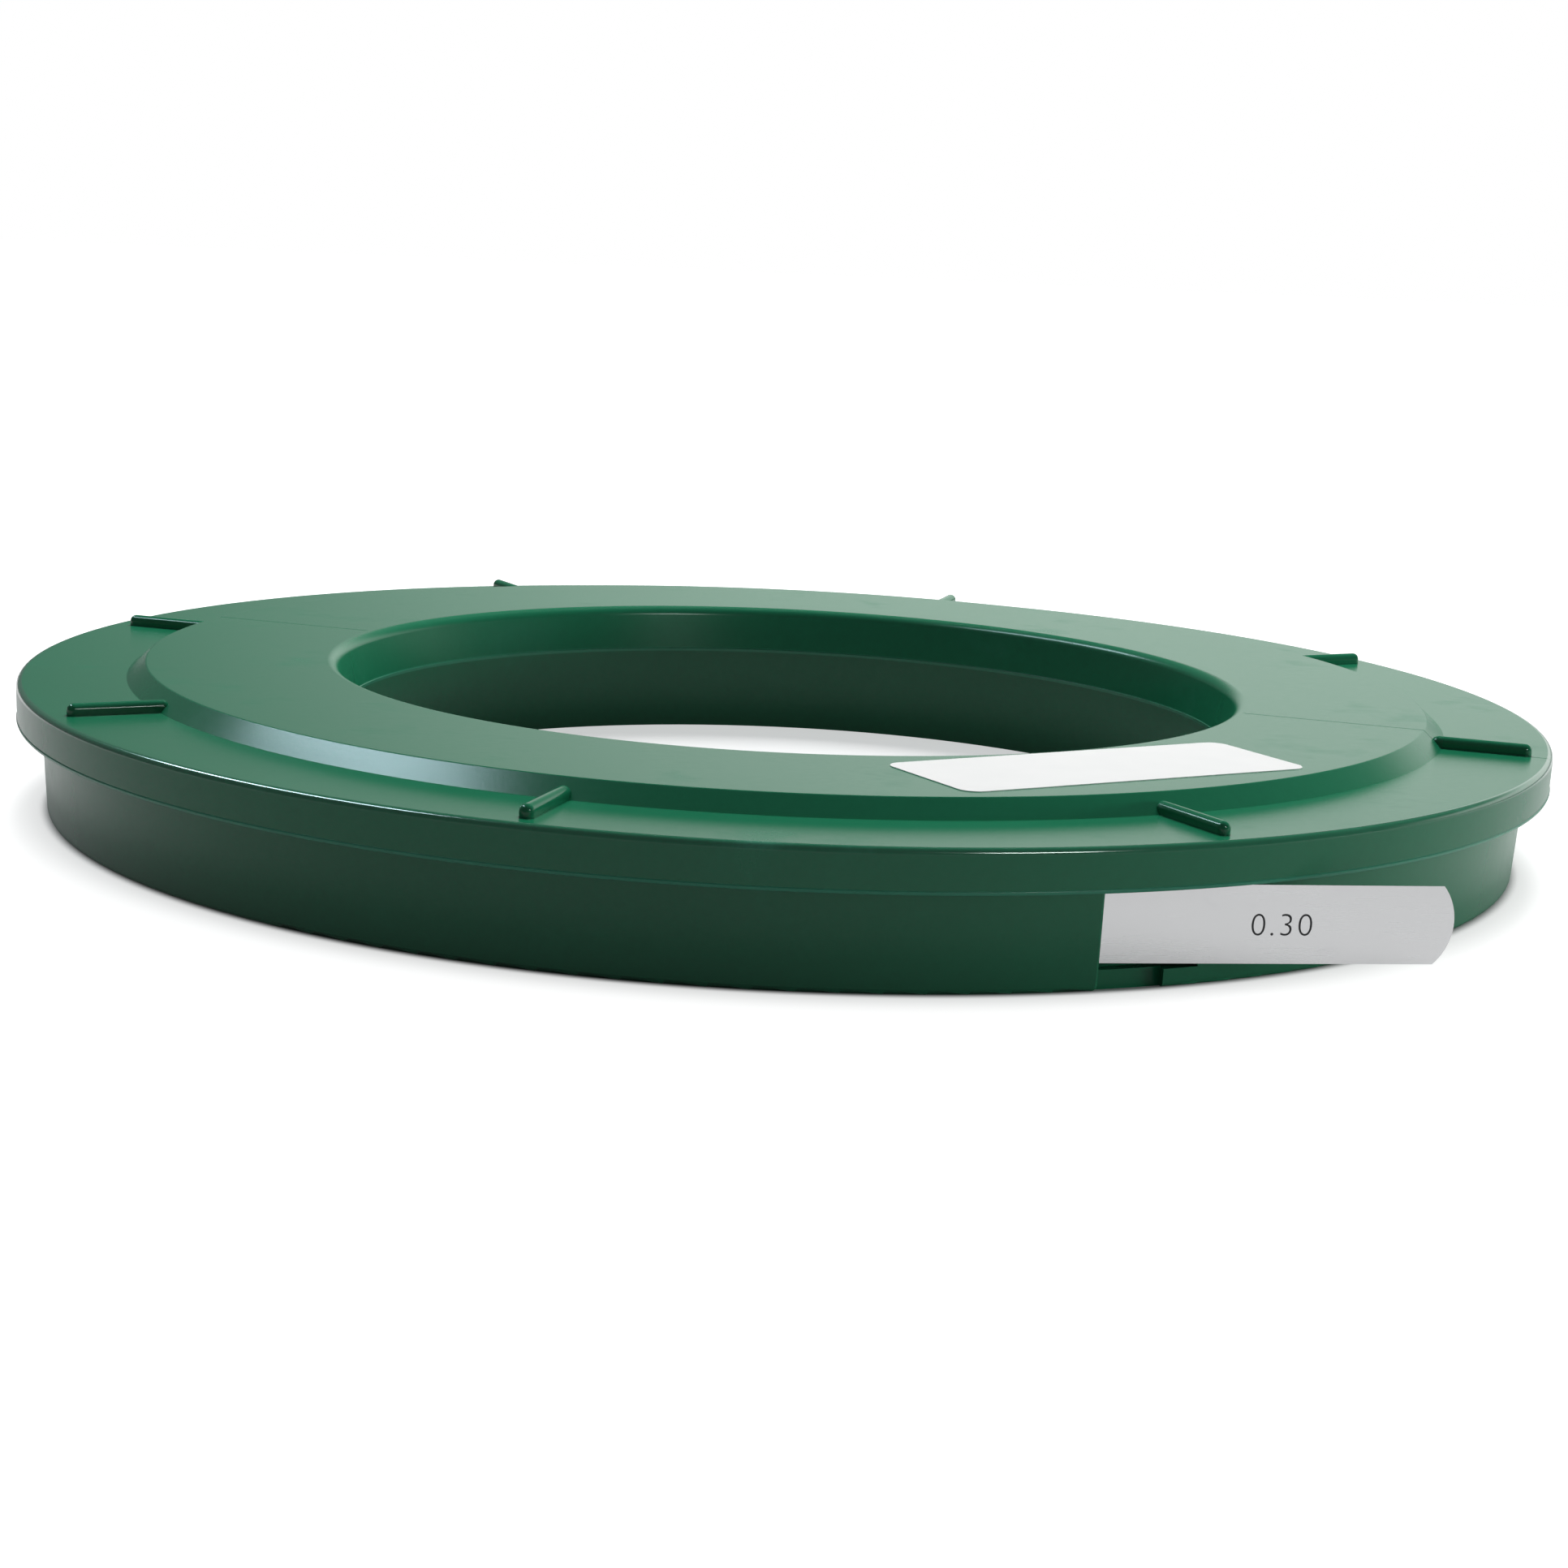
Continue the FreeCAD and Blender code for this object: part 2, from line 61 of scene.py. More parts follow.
# %% The camera
CAMERA_PLACE = Vector((-0.10267, -0.57378, 0.11873))
CAMERA_AZIMUTH = math.radians(-10.19)
CAMERA_DROP = math.radians(11.068)
CAMERA_ROLL = math.radians(2.785)

camera_data = bpy.data.cameras.new("photo_camera")
camera_data.lens = 69.17
camera_data.sensor_width = 36.0
camera = bpy.data.objects.new("photo_camera", camera_data)
bpy.context.scene.collection.objects.link(camera)
camera.matrix_world = (
    Matrix.Translation(CAMERA_PLACE)
    @ Matrix.Rotation(CAMERA_AZIMUTH, 4, "Z")
    @ Matrix.Rotation(math.pi / 2 - CAMERA_DROP, 4, "X")
    @ Matrix.Rotation(CAMERA_ROLL, 4, "Z")
)
bpy.context.scene.camera = camera
print("camera", round(CAMERA_PLACE.length / MM), "mm from the ring's middle")

# %% [markdown]
# Finishes are built from shader nodes. Wiring them one by one hides the idea
# behind them, so a small class wraps an output socket and lets Python's own
# signs add the Math nodes: 1 - mask is a Math node set to subtract. Every other
# node comes from one method, which takes its type, its settings and its inputs.

# %% A shader sheet and its wires
GENERATED, OBJECT = 0, 3  # outputs of Texture Coordinate: a world's view direction, a place
VECTOR_NUMBER = 1  # the output of Vector Math that holds a length or a dot product


class Wire:
    """An output socket. Arithmetic on it adds Math nodes to its sheet."""

    def __init__(self, sheet, output):
        self.sheet = sheet
        self.output = output

    def math(self, operation, *values):
        return self.sheet.node("Math", {"operation": operation}, dict(enumerate(values)))

    def __add__(self, other):
        return self.math("ADD", self, other)

    def __sub__(self, other):
        return self.math("SUBTRACT", self, other)

    def __rsub__(self, other):
        return self.math("SUBTRACT", other, self)

    def __mul__(self, other):
        return self.math("MULTIPLY", self, other)

    def __pow__(self, other):
        return self.math("POWER", self, other)

    def __abs__(self):
        return self.math("ABSOLUTE", self)

    __radd__ = __add__


class Sheet:
    """The node tree of a material or a world."""

    def __init__(self, owner):
        owner.use_nodes = True
        self.tree = owner.node_tree
        self.tree.nodes.clear()

    def node(self, kind, settings=None, inputs=None, out=0):
        """Add a shader node: its settings first, then its inputs. Returns one output."""
        made = self.tree.nodes.new("ShaderNode" + kind)
        for name, value in (settings or {}).items():
            setattr(made, name, value)
        for key, value in (inputs or {}).items():
            if isinstance(value, Wire):
                self.tree.links.new(value.output, made.inputs[key])
            else:
                made.inputs[key].default_value = value
        return Wire(self, made.outputs[out]) if made.outputs else None

    def ramp(self, value, low, high):
        """0 below low, 1 above high, and a soft S between them. Low may be the larger."""
        settings = {"interpolation_type": "SMOOTHSTEP"}
        return self.node("MapRange", settings, {0: value, 1: low, 2: high})

    def mix(self, factor, first, second):
        """A colour between two colours. 6, 7 and output 2 are the node's colour sockets."""
        settings = {"data_type": "RGBA"}
        return self.node("Mix", settings, {0: factor, 6: first, 7: second}, out=2)

    def noise(self, where, scale, detail=2.0, roughness=0.5):
        """Smooth noise between 0 and 1, with about scale waves to the metre."""
        inputs = {"Vector": where, "Scale": scale, "Detail": detail, "Roughness": roughness}
        return self.node("TexNoise", {"noise_dimensions": "3D"}, inputs)

    def split(self, vector):
        """The three numbers of a vector, as three wires."""
        first = self.node("SeparateXYZ", inputs={0: vector})
        return [Wire(self, output) for output in first.output.node.outputs]


print("socket helpers ready")

# %% [markdown]
# Lamps are placed by what the plastic mirrors. The sloped step of the lid shows
# a pale blue streak on the left, and a mirror there looks up and back to the
# left: that is where the window lamp goes. A strip light low at the front right
# draws the thin bright line along the lid's rounded rim. These two are seen in
# reflections alone. The other two stand for light from pale walls. They light the
# surfaces, but no surface mirrors them: the back lamp fills the flat top, and the
# side light brings up the green of the skirt and the wall on the right. Nothing
# hangs straight overhead, because the front of the slope would mirror it, and
# there it is dark.
# Lamps are given by how bright they look, which is easier to reason about than
# watts: a flat lamp that looks L bright sends out L times pi times its area.


# %% The lamps
def towards(azimuth, elevation, distance):
    """A place seen from the ring's middle: azimuth 0 is the front, 90 the right."""
    turn, rise = math.radians(azimuth), math.radians(elevation)
    level = math.cos(rise)
    return distance * Vector((math.sin(turn) * level, -math.cos(turn) * level, math.sin(rise)))


def add_softbox(name, place, width, height, brightness, colour, turn=0.0):
    """A flat lamp facing the ring's middle, turned in its own plane, unseen by the camera."""
    data = bpy.data.lights.new(name, "AREA")
    data.shape = "RECTANGLE"
    data.size, data.size_y = width, height
    data.energy = brightness * math.pi * width * height
    data.color = colour
    lamp = bpy.data.objects.new(name, data)
    bpy.context.scene.collection.objects.link(lamp)
    facing = (-place).to_track_quat("-Z", "Y").to_matrix().to_4x4()
    turned = Matrix.Rotation(math.radians(turn), 4, "Z")
    lamp.matrix_world = Matrix.Translation(place) @ facing @ turned
    lamp.visible_camera = False
    print(name, round(data.energy, 1), "W")
    return lamp


window = add_softbox(
    "window", towards(-121, 50, 1.6), width=1.1, height=0.2,
    brightness=20.5, colour=(0.68, 0.89, 1.0), turn=40.0,
)
back_lamp = add_softbox(
    "back_lamp", towards(165, 55, 1.6), width=1.0, height=0.8,
    brightness=13.6, colour=(1.0, 1.0, 1.0),
)
strip_light = add_softbox(
    "strip_light", towards(25.5, 26.5, 1.03), width=0.26, height=0.11,
    brightness=24.0, colour=(0.88, 1.0, 0.95),
)
side_light = add_softbox(
    "side_light", towards(80, 4.2, 1.2), width=0.9, height=0.15,
    brightness=15.5, colour=(0.97, 1.0, 0.98),
)
for mirrored_only in (window, strip_light):
    mirrored_only.visible_diffuse = False
for never_mirrored in (back_lamp, side_light):
    never_mirrored.visible_glossy = False

# %% [markdown]
# The photograph's background is pure white. More light would bleach the case as
# well, so the white is shown to the camera alone, with a share of it for
# mirror-like reflections: the Light Path node says what kind of ray is asking.
# For the light itself the room is dim, with a soft band of glow low at the back
# right, where the flat top looks brightest. The band fades out between 15 and 25
# degrees up, because the rounded ribs mirror what is above it and look dark.


# %% The room
def backdrop_share(sheet, glossy_share):
    """How much of the white backdrop a ray sees: all for the camera, a part in reflections."""
    camera_ray = sheet.node("LightPath", out=0)
    path = camera_ray.output.node
    glossy = Wire(sheet, path.outputs["Is Glossy Ray"])
    transmission = Wire(sheet, path.outputs["Is Transmission Ray"])
    return camera_ray + transmission + glossy * glossy_share


GLOW_SIDE = towards(135, 0, 1.0)
ROOM_DIM = (0.10, 0.108, 0.112, 1.0)
ROOM_GLOW = (0.98, 1.0, 0.98, 1.0)
WHITE = (1.0, 1.0, 1.0, 1.0)
BACKDROP_IN_GLOSS = 0.04

world = bpy.data.worlds.new("studio")
bpy.context.scene.world = world
sky = Sheet(world)
looking = sky.node("TexCoord", out=GENERATED)
nearness = sky.node(
    "VectorMath", {"operation": "DOT_PRODUCT"}, {0: looking, 1: GLOW_SIDE}, VECTOR_NUMBER
)
upward = sky.split(looking)[2]
band = sky.ramp(upward, 0.0, 0.12) * sky.ramp(upward, 0.42, 0.26)
glow = sky.mix(sky.ramp(nearness, 0.61, 0.88) * band, ROOM_DIM, ROOM_GLOW)
room = sky.node("Background", inputs={0: glow, 1: 1.0})
white = sky.node("Background", inputs={0: WHITE, 1: 1.0})
white_share = backdrop_share(sky, BACKDROP_IN_GLOSS)
seen = sky.node("MixShader", inputs={0: white_share, 1: room, 2: white})
sky.node("OutputWorld", inputs={0: seen})
print("room lit,", len(sky.tree.nodes), "nodes")

# %% [markdown]
# The floor is a plain pale sheet. Lit by the lamps alone it would look grey, so
# the camera sees a glow of its own in it, and reflections see a part of that. The
# glow is not even, and it carries painted shade. In the bore it is weaker, a
# painted grey, because the photograph shows a pale grey there. It goes out under
# the ring, which paints a dark line of contact, and grows over the first
# centimetre outside the wall, which paints a narrow soft shadow there. These are
# set by distance from the ring's middle and are not cast by the lamps.

# %% The floor
PAPER_GREY = (0.40, 0.40, 0.40, 1.0)
# These two colours paint shade on the floor: a dimmer grey glow in the bore, and no glow at the
# ring's foot, which gives a painted dark line of contact.
BORE_GLOW_PAINTED_GREY = (0.55, 0.56, 0.56, 1.0)
PAINTED_CONTACT_DARK = (0.0, 0.0, 0.0, 1.0)
FIELD_GLOW = (0.97, 0.97, 0.97, 1.0)
UNDER_RING = (130 * MM, 140 * MM)
CONTACT_EDGE = (139.6 * MM, 142.4 * MM)
SHADOW_EDGE = (137 * MM, 152 * MM)
CONTACT_SHARE = 0.62
FAR_FIELD = (0.3, 1.0)
FLOOR_IN_GLOSS = 0.36

bpy.ops.object.select_all(action="DESELECT")
bpy.ops.mesh.primitive_plane_add(size=8.0, location=(0, 0, 0))
floor = bpy.context.object
floor.name = "studio_floor"
floor_finish = bpy.data.materials.new("pale_floor")
paper = Sheet(floor_finish)
floor_place = paper.node("TexCoord", out=OBJECT)
spread = paper.node("VectorMath", {"operation": "LENGTH"}, {0: floor_place}, VECTOR_NUMBER)
# Painted shade: the glow is a dim grey in the bore and goes out under the ring.
inside = paper.mix(paper.ramp(spread, *UNDER_RING), BORE_GLOW_PAINTED_GREY, PAINTED_CONTACT_DARK)
# Painted shadow: the glow comes back just outside the wall's foot and then over the first
# centimetre. This leaves a painted contact line and a narrow painted soft shadow.
painted_contact_shadow = paper.ramp(spread, *CONTACT_EDGE) * CONTACT_SHARE
painted_soft_shadow = paper.ramp(spread, *SHADOW_EDGE) * (1 - CONTACT_SHARE)
nearby = paper.mix(painted_contact_shadow + painted_soft_shadow, inside, FIELD_GLOW)
shine = paper.mix(paper.ramp(spread, *FAR_FIELD), nearby, WHITE)
lit = {"Base Color": PAPER_GREY, "Roughness": 0.9}
plain = paper.node("BsdfPrincipled", inputs=lit)
bright = paper.node(
    "BsdfPrincipled", inputs={**lit, "Emission Color": shine, "Emission Strength": 1.0}
)
bright_share = backdrop_share(paper, FLOOR_IN_GLOSS)
shown = paper.node("MixShader", inputs={0: bright_share, 1: plain, 2: bright})
paper.node("OutputMaterial", inputs={0: shown})
floor.data.materials.append(floor_finish)
bpy.context.scene.view_settings.view_transform = "Standard"
print("floor ready,", len(paper.tree.nodes), "nodes")

# %% [markdown]
# The tray and the lid are moulded in one green plastic with a soft gloss. From a
# distance its colour is even, and what the eye reads as plastic is small: a faint
# mottling, a fine grain that the mould leaves on the flat faces, polished ribs,
# edges rubbed a little pale, and a thin line where two streams of melt met,
# straight across the top. The thin beads at the foot of each skirt are made pale
# too. That is a painted highlight for the light they catch, not wear. The lid's
# rounded rim shines most, and a clear coat there carries its bright line of
# light. All of it reads Object coordinates, so it stays on the piece.

# %% Green moulded plastic
KNIT_ANGLE = math.radians(63.5)
TOP_LEVEL = 24.2 * MM
RIB_LEVEL = 24.45 * MM
BORE_EDGE = 89.0 * MM
SLOPE_FOOT = 126.4 * MM
LID_RADIUS = 146.3 * MM
OUTER_BEAD_TOP = 17.6 * MM
INNER_BEAD_TOP = 18.4 * MM
BORE_SKIRT = 86.0 * MM
GREEN = (0.0128, 0.193, 0.093, 1.0)
DEEP_GREEN = (0.0095, 0.152, 0.073, 1.0)
PALE_GREEN_WEAR_AND_HIGHLIGHT = (0.050, 0.300, 0.190, 1.0)
DARK_GREEN = (0.007, 0.105, 0.052, 1.0)


def moulded_plastic():
    finish = bpy.data.materials.new("green_moulded_plastic")
    sheet = Sheet(finish)
    place = sheet.node("TexCoord", out=OBJECT)
    x, y, z = sheet.split(place)
    radius = (x ** 2.0 + y ** 2.0) ** 0.5

    tone = sheet.noise(place, 14.0, 3.0)
    mottle = sheet.noise(place, 650.0, 3.0, 0.7)
    rubbed = sheet.ramp(sheet.noise(place, 60.0, 5.0, 0.6), 0.56, 0.78)
    grain = sheet.noise(place, 1300.0, 3.0, 0.6)
    top = sheet.ramp(z, TOP_LEVEL - 0.2 * MM, TOP_LEVEL)
    rib = sheet.ramp(z, RIB_LEVEL, RIB_LEVEL + 0.2 * MM) * sheet.ramp(
        radius, SLOPE_FOOT, SLOPE_FOOT + 0.1 * MM
    )
    rim = sheet.ramp(radius, LID_RADIUS - 1.2 * MM, LID_RADIUS - 0.9 * MM) * sheet.ramp(
        z, TOP_LEVEL - 1.1 * MM, TOP_LEVEL - 0.6 * MM
    )
    polished = rim.math("MAXIMUM", rim, rib)
    # Painted highlight: the beads at the skirts' feet are made pale to stand in for the light
    # they catch.
    outer_bead_painted_highlight = sheet.ramp(z, OUTER_BEAD_TOP + 0.2 * MM, OUTER_BEAD_TOP) * sheet.ramp(
        radius, LID_RADIUS - 0.4 * MM, LID_RADIUS - 0.3 * MM
    )
    inner_bead_painted_highlight = sheet.ramp(z, INNER_BEAD_TOP + 0.4 * MM, INNER_BEAD_TOP) * sheet.ramp(
        radius, BORE_SKIRT + 0.2 * MM, BORE_SKIRT
    )
    across = abs(x * math.cos(KNIT_ANGLE) + y * math.sin(KNIT_ANGLE))
    knit = sheet.ramp(across, 0.6 * MM, 0.15 * MM) * top * (1.0 - rib)
    knit = knit * sheet.ramp(radius, BORE_EDGE, BORE_EDGE + 1.0 * MM)

    colour = sheet.mix(tone * 0.5 + mottle * 0.5, DEEP_GREEN, GREEN)
    # The random rubbed patches are wear, and the bead terms are a painted highlight.
    wear_and_painted_bead_highlight = rubbed * 0.12 + rim * rubbed * 0.5 + outer_bead_painted_highlight * 0.8 + inner_bead_painted_highlight * 0.4
    colour = sheet.mix(wear_and_painted_bead_highlight, colour, PALE_GREEN_WEAR_AND_HIGHLIGHT)
    colour = sheet.mix(knit * 0.45, colour, DARK_GREEN)
    roughness = 0.21 + rubbed * 0.05 + mottle * 0.04 + knit * 0.12 - polished * 0.09
    relief = grain * (1.0 - polished) * 0.5 - knit * 0.5
    bump = sheet.node("Bump", inputs={"Strength": 0.4, "Distance": 0.05 * MM, "Height": relief})
    shader = sheet.node(
        "BsdfPrincipled",
        inputs={
            "Base Color": colour,
            "Roughness": roughness,
            "IOR": 1.36,
            "Coat Weight": rim * 0.75,
            "Coat Roughness": 0.14,
            "Coat IOR": 1.7,
            "Normal": bump,
        },
    )
    sheet.node("OutputMaterial", inputs={0: shader})
    print(finish.name, len(sheet.tree.nodes), "nodes")
    return finish


def paint(node, finish):
    """Give a CAD node a finish through its own material slots."""
    for material_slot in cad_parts[node].material_slots:
        material_slot.material = finish


green = moulded_plastic()
paint("base_tray", green)

# %% [markdown]
# The lid is a ring with a raised step, and its light runs along rounded rims.
# The CAD mesh cuts those rims into short flats, which break the highlights, so
# the lid is turned again here, from the same outline. It could be built from
# rings of vertices worked out in Python. A lathe is closer to how the mould was
# cut: one vertex is drawn round the wall's outline, and Spin takes it about the
# axis. Each mould wall ends in a hair-thin bead where the mould halves met.

# %% Turn the lid
RING_STEPS = 360
MERGE_DISTANCE = 0.01 * MM
# The radius and height of each corner, in mm.
LID_OUTLINE = [
    (146.12, 17.7), (146.3, 24.3), (126.3, 24.3), (122.8, 27.4), (87.2, 27.4),
    (85.62, 18.5), (85.45, 18.35), (85.5, 17.8), (87.3, 17.8), (88.65, 25.4),
    (120.8, 25.4), (124.3, 22.3), (142.4, 22.3), (142.4, 17.0), (146.1, 17.0),
    (146.3, 17.5),
]

bpy.ops.object.select_all(action="DESELECT")
bpy.ops.mesh.primitive_plane_add(size=MM)
lid = bpy.context.object
lid.name = "turned_lid"
bpy.ops.object.mode_set(mode="EDIT")
bpy.ops.mesh.merge(type="CENTER")
first_radius, first_height = LID_OUTLINE[0]
bpy.ops.transform.translate(value=(first_radius * MM, 0, first_height * MM))
for (r0, z0), (r1, z1) in zip(LID_OUTLINE, LID_OUTLINE[1:] + LID_OUTLINE[:1]):
    step = ((r1 - r0) * MM, 0, (z1 - z0) * MM)
    bpy.ops.mesh.extrude_vertices_move(TRANSFORM_OT_translate={"value": step})
bpy.ops.mesh.select_all(action="SELECT")
bpy.ops.mesh.remove_doubles(threshold=MERGE_DISTANCE)
bpy.ops.mesh.select_all(action="SELECT")
bpy.ops.mesh.spin(steps=RING_STEPS, angle=2 * math.pi, center=(0, 0, 0), axis=(0, 0, 1))
bpy.ops.mesh.select_all(action="SELECT")
bpy.ops.mesh.remove_doubles(threshold=MERGE_DISTANCE)
bpy.ops.mesh.normals_make_consistent(inside=False)
bpy.ops.object.mode_set(mode="OBJECT")
print(lid.name, len(lid.data.vertices), "vertices before its rims are rounded")

# %% [markdown]
# Every corner of a moulded part is rounded, the bore's edge most of all, since
# a hand goes through it. Each rim is a circle of vertices, found by its radius
# and its height, and Bevel rounds the edges between them.


# %% Round the lid's rims
def select_vertices(piece, wanted):
    """Select the vertices for which wanted(place) is true, and stay in edit mode."""
    bpy.ops.object.mode_set(mode="EDIT")
    bpy.ops.mesh.select_mode(type="VERT")
    bpy.ops.mesh.select_all(action="DESELECT")
    bpy.ops.object.mode_set(mode="OBJECT")
    for vertex in piece.data.vertices:
        vertex.select = wanted(vertex.co)
    bpy.ops.object.mode_set(mode="EDIT")


# The radius and height of each rim, its rounding, all in mm, and its segments.
LID_RIMS = [
    (146.3, 24.3, 1.1, 8), (87.2, 27.4, 1.8, 9), (122.8, 27.4, 0.2, 3), (142.4, 17.0, 0.4, 3),
    (87.3, 17.8, 0.4, 3), (146.3, 17.5, 0.12, 2), (146.1, 17.0, 0.12, 2),
]
RIM_TOLERANCE = 0.02 * MM

for rim_radius, rim_height, rounding, segments in LID_RIMS:
    rim = Vector((rim_radius * MM, 0, rim_height * MM))
    select_vertices(
        lid, lambda v: (Vector((math.hypot(v.x, v.y), 0, v.z)) - rim).length < RIM_TOLERANCE
    )
    bpy.ops.mesh.bevel(affect="EDGES", offset=rounding * MM, segments=segments)
    bpy.ops.object.mode_set(mode="OBJECT")
print(len(LID_RIMS), "rims rounded,", len(lid.data.vertices), "vertices")

# %% [markdown]
# Eight finger ribs stand on the lid's outer band. Each is a round bar, half
# sunk, with ball ends, as a ball-nosed cutter leaves it in the mould. A sphere
# is cut in two and one half is pulled away, which gives a capsule. Its lower
# half is cut off, and the edge that is left is drawn down into the lid.

# %% Model one rib
RIB_RADIUS = 1.25 * MM
RIB_START = 125.55 * MM
RIB_REACH = 15.6 * MM
RIB_CENTRE_HEIGHT = 25.15 * MM
RIB_ROOT = 1.3 * MM
CUT_TOLERANCE = 0.001 * MM

bpy.ops.object.select_all(action="DESELECT")
bpy.ops.mesh.primitive_uv_sphere_add(segments=32, ring_count=16, radius=RIB_RADIUS)
rib = bpy.context.object
bpy.ops.object.mode_set(mode="EDIT")
bpy.ops.mesh.select_mode(type="FACE")
bpy.ops.mesh.select_all(action="DESELECT")
bpy.ops.object.mode_set(mode="OBJECT")
for face in rib.data.polygons:
    face.select = face.center.x > 0
bpy.ops.object.mode_set(mode="EDIT")
bpy.ops.mesh.extrude_region_move(TRANSFORM_OT_translate={"value": (RIB_REACH, 0, 0)})
bpy.ops.mesh.select_all(action="SELECT")
bpy.ops.mesh.bisect(plane_co=(0, 0, 0), plane_no=(0, 0, 1), clear_inner=True)
select_vertices(rib, lambda v: v.z < CUT_TOLERANCE)
bpy.ops.mesh.extrude_region_move(TRANSFORM_OT_translate={"value": (0, 0, -RIB_ROOT)})
bpy.ops.mesh.edge_face_add()
bpy.ops.mesh.select_all(action="SELECT")
bpy.ops.mesh.remove_doubles(threshold=CUT_TOLERANCE)
bpy.ops.mesh.normals_make_consistent(inside=False)
bpy.ops.object.mode_set(mode="OBJECT")
rib_top = max(vertex.co.z for vertex in rib.data.vertices)
print("rib", len(rib.data.vertices), "vertices,", round(rib_top / MM, 2), "mm above its middle")

# %% [markdown]
# The ribs stand an eighth of a turn apart. Each copy has a mesh of its own, and
# its place goes into that mesh. They are joined to the lid, and the shading is
# set once for all: smooth, apart from true corners, with the wide flat faces
# given the say over the normals at their edges, so that they stay flat.

# %% Set the ribs on the lid
RIB_COUNT = 8
RIB_ANGLE = 19.1
CORNER_ANGLE = math.radians(35)

copies = []
for i in range(RIB_COUNT):
    turn = math.radians(RIB_ANGLE + 360 * i / RIB_COUNT - 90)
    copy = bpy.data.objects.new("rib_copy", rib.data.copy())
    bpy.context.scene.collection.objects.link(copy)
    copy.data.transform(
        Matrix.Rotation(turn, 4, "Z") @ Matrix.Translation((RIB_START, 0, RIB_CENTRE_HEIGHT))
    )
    copies.append(copy)
bpy.data.objects.remove(rib)
bpy.ops.object.select_all(action="DESELECT")
for piece in (*copies, lid):
    piece.select_set(True)
bpy.context.view_layer.objects.active = lid
bpy.ops.object.join()
bpy.ops.object.shade_smooth_by_angle(angle=CORNER_ANGLE)
bpy.ops.object.modifier_add(type="WEIGHTED_NORMAL")
lid.modifiers[-1].keep_sharp = True
bpy.ops.object.modifier_apply(modifier=lid.modifiers[-1].name)
lid.data.materials.append(green)
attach(lid, "cover")
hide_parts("lid")
print(lid.name, len(lid.data.polygons), "faces with", RIB_COUNT, "ribs")

# %% [markdown]
# The strip is cold-rolled steel. Rolling leaves fine lines along its length and
# a soft, slightly cloudy shine. Lines that run along the strip are noise that is
# stretched along it: on the straight end the long way is X, and on the coil it
# is the way round, so the coil's pattern uses the angle about the axis.

# %% Rolled steel
COIL_RADIUS = 135 * MM
DULL_STEEL = (0.73, 0.73, 0.74, 1.0)
BRIGHT_STEEL = (0.84, 0.835, 0.845, 1.0)
STAINED_STEEL = (0.58, 0.57, 0.61, 1.0)


def rolled_steel(name, wound):
    finish = bpy.data.materials.new(name)
    sheet = Sheet(finish)
    x, y, z = sheet.split(sheet.node("TexCoord", out=OBJECT))
    along = y.math("ARCTAN2", y, x) * COIL_RADIUS if wound else x
    stretched = sheet.node("CombineXYZ", inputs={0: along * 0.02, 1: y * 0.1, 2: z})
    flat = sheet.node("CombineXYZ", inputs={0: along, 1: 0.0, 2: z * 2.0})

    lines = sheet.noise(stretched, 5200.0, 3.0, 0.6)
    clouds = sheet.noise(flat, 55.0, 4.0)
    stain = sheet.ramp(sheet.noise(flat, 130.0, 5.0, 0.65), 0.58, 0.78)

    colour = sheet.mix(lines * 0.5 + clouds * 0.5, DULL_STEEL, BRIGHT_STEEL)
    colour = sheet.mix(stain * 0.25, colour, STAINED_STEEL)
    bump = sheet.node("Bump", inputs={"Strength": 0.12, "Distance": 0.02 * MM, "Height": lines})
    shader = sheet.node(
        "BsdfPrincipled",
        inputs={
            "Base Color": colour,
            "Metallic": 1.0,
            "Roughness": 0.19 + lines * 0.08 + clouds * 0.06,
            "Normal": bump,
        },
    )
    sheet.node("OutputMaterial", inputs={0: shader})
    print(finish.name, len(sheet.tree.nodes), "nodes")
    return finish


paint("strip_tongue", rolled_steel("rolled_steel_straight", wound=False))
paint("strip_coil", rolled_steel("rolled_steel_wound", wound=True))

# %% [markdown]
# The sticker on the top is plain white film, so its finish carries it alone: an
# almost even white, a low sheen, and a slight waviness where the film follows the
# plastic below.

# %% White film
FILM_SHADE = (0.86, 0.865, 0.86, 1.0)
FILM_WHITE = (0.92, 0.92, 0.91, 1.0)


def white_film():
    finish = bpy.data.materials.new("white_label_film")
    sheet = Sheet(finish)
    place = sheet.node("TexCoord", out=OBJECT)
    waves = sheet.noise(place, 110.0, 2.0)
    fibre = sheet.noise(place, 3000.0, 2.0)
    colour = sheet.mix(waves, FILM_SHADE, FILM_WHITE)
    relief = waves * 0.8 + fibre * 0.1
    bump = sheet.node("Bump", inputs={"Strength": 0.1, "Distance": 0.1 * MM, "Height": relief})
    shader = sheet.node(
        "BsdfPrincipled",
        inputs={"Base Color": colour, "Roughness": 0.42 + waves * 0.06, "Normal": bump},
    )
    sheet.node("OutputMaterial", inputs={0: shader})
    print(finish.name, len(sheet.tree.nodes), "nodes")
    return finish


paint("blank_label", white_film())

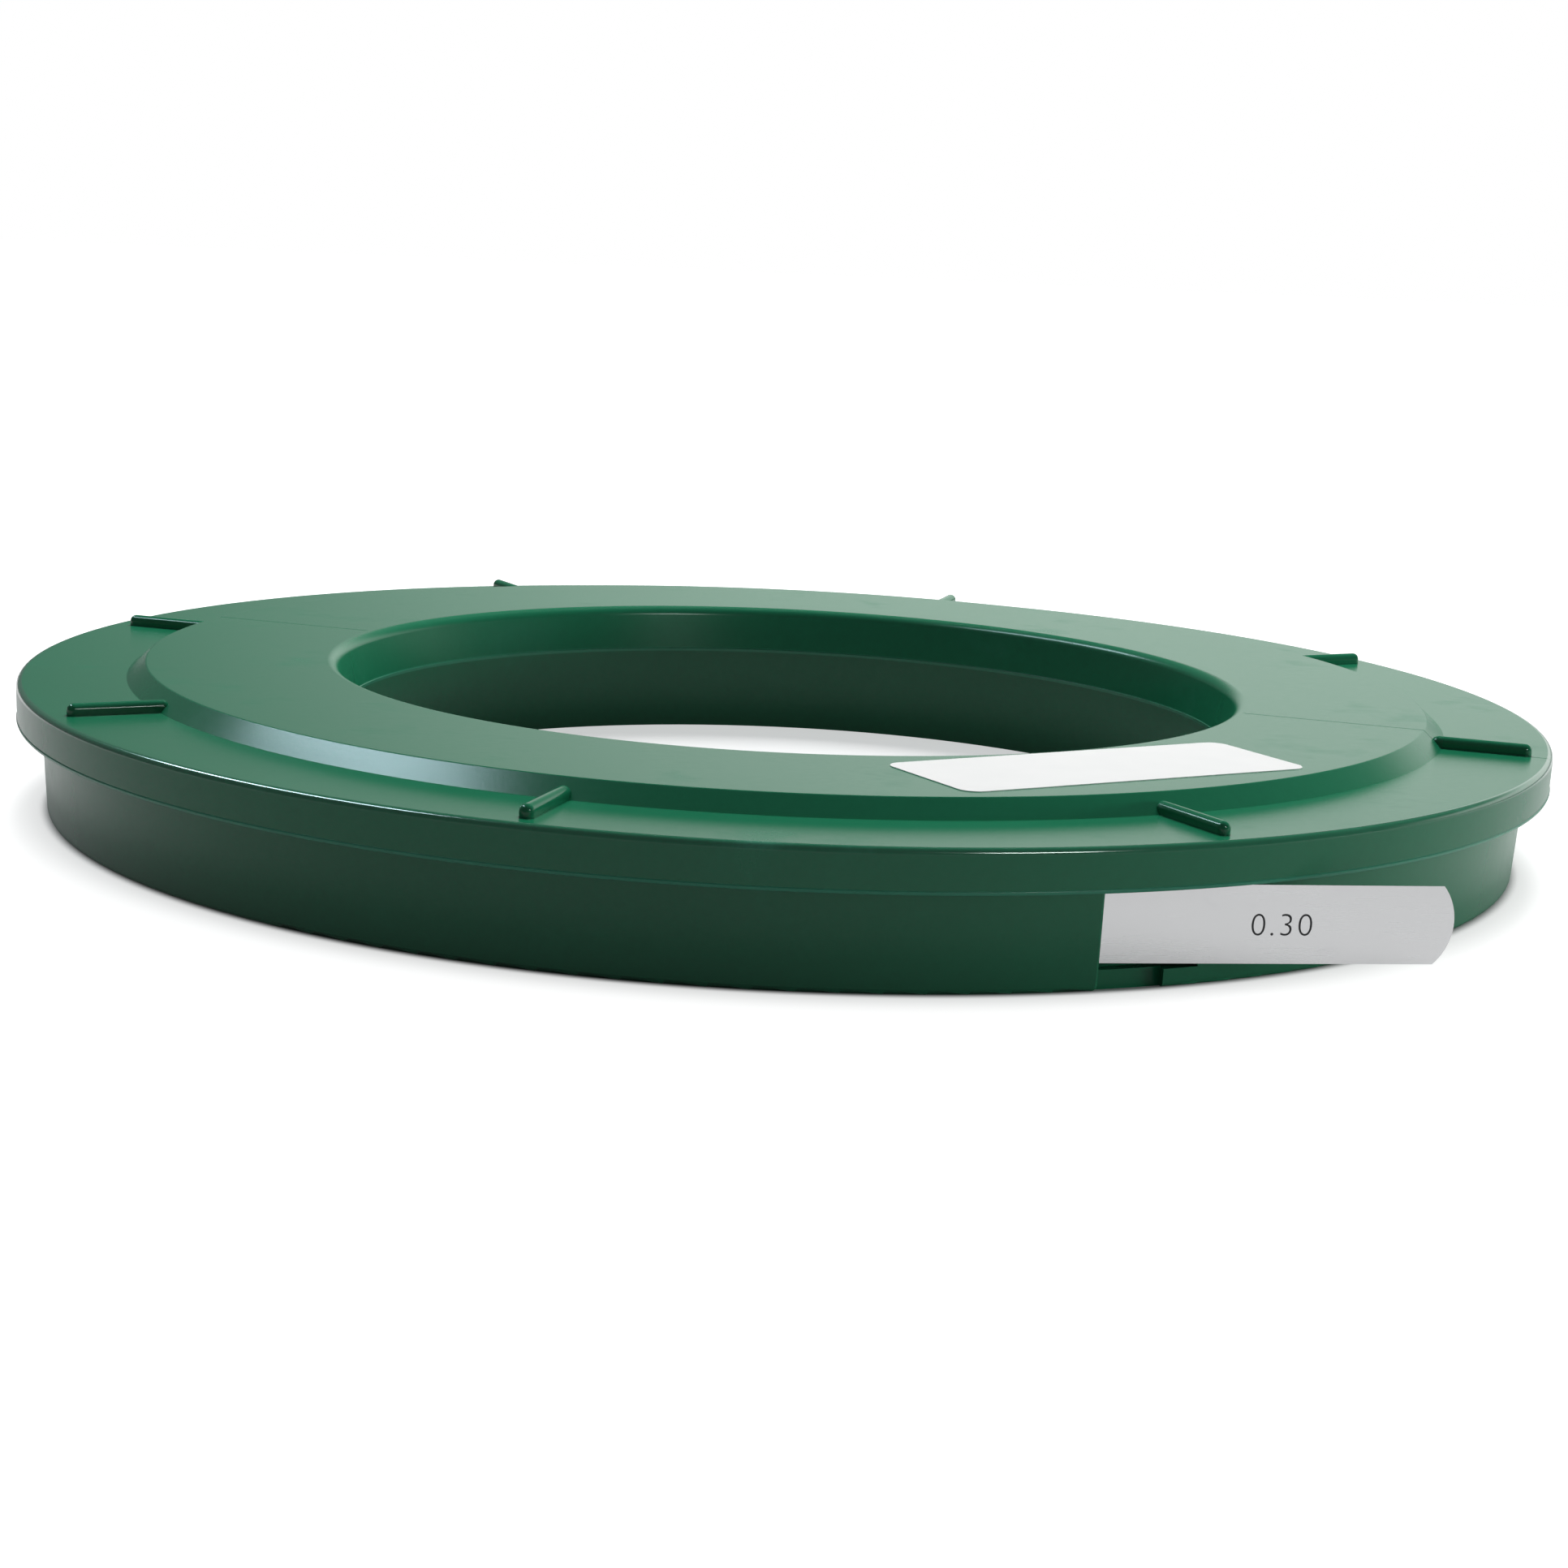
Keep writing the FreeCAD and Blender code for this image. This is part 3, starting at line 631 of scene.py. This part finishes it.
# %% [markdown]
# The free end carries its thickness, 0.30, in thin dark figures. They could be
# a texture, but figures cut as a mesh stay sharp at any distance. A text object
# gives the outlines, its offset makes the strokes thin, and it becomes a mesh
# before it is put in its place, a hair in front of the strip's face.

# %% The number on the strip
NUMBER_MIDDLE_X = 56.2 * MM
NUMBER_MIDDLE_Z = 10.35 * MM
NUMBER_HEIGHT = 3.5 * MM
NUMBER_LENGTH = 9.9 * MM
NUMBER_PROUD = 0.01 * MM
STROKE_OFFSET = -0.017
FIGURE_SPACING = 1.12
INK = (0.012, 0.012, 0.014, 1.0)
WORN_INK = (0.03, 0.03, 0.034, 1.0)

bpy.ops.object.select_all(action="DESELECT")
bpy.ops.object.text_add(location=(0, 0, 0))
number = bpy.context.object
number.name = "strip_number"
number.data.body = "0.30"
number.data.align_x = "CENTER"
number.data.align_y = "CENTER"
number.data.offset = STROKE_OFFSET
number.data.space_character = FIGURE_SPACING
bpy.ops.object.convert(target="MESH")
left, bottom = (min(v.co[i] for v in number.data.vertices) for i in range(2))
right, top = (max(v.co[i] for v in number.data.vertices) for i in range(2))
centre = Vector(((left + right) / 2, (bottom + top) / 2, 0))
stretch = (NUMBER_LENGTH / (right - left), NUMBER_HEIGHT / (top - bottom), 1, 1)
strip_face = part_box("strip_tongue")[0].y
spot = Vector((NUMBER_MIDDLE_X, strip_face - NUMBER_PROUD, NUMBER_MIDDLE_Z))
number.data.transform(
    Matrix.Translation(spot)
    @ Matrix.Rotation(math.pi / 2, 4, "X")
    @ Matrix.Diagonal(stretch)
    @ Matrix.Translation(-centre)
)
ink = bpy.data.materials.new("dark_ink")
pigment = Sheet(ink)
spots = pigment.noise(pigment.node("TexCoord", out=OBJECT), 9000.0, 1.0)
dark = pigment.mix(spots, INK, WORN_INK)
printed = pigment.node("BsdfPrincipled", inputs={"Base Color": dark, "Roughness": 0.55})
pigment.node("OutputMaterial", inputs={0: printed})
number.data.materials.append(ink)
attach(number, "free_end")
print(number.name, len(number.data.polygons), "faces")
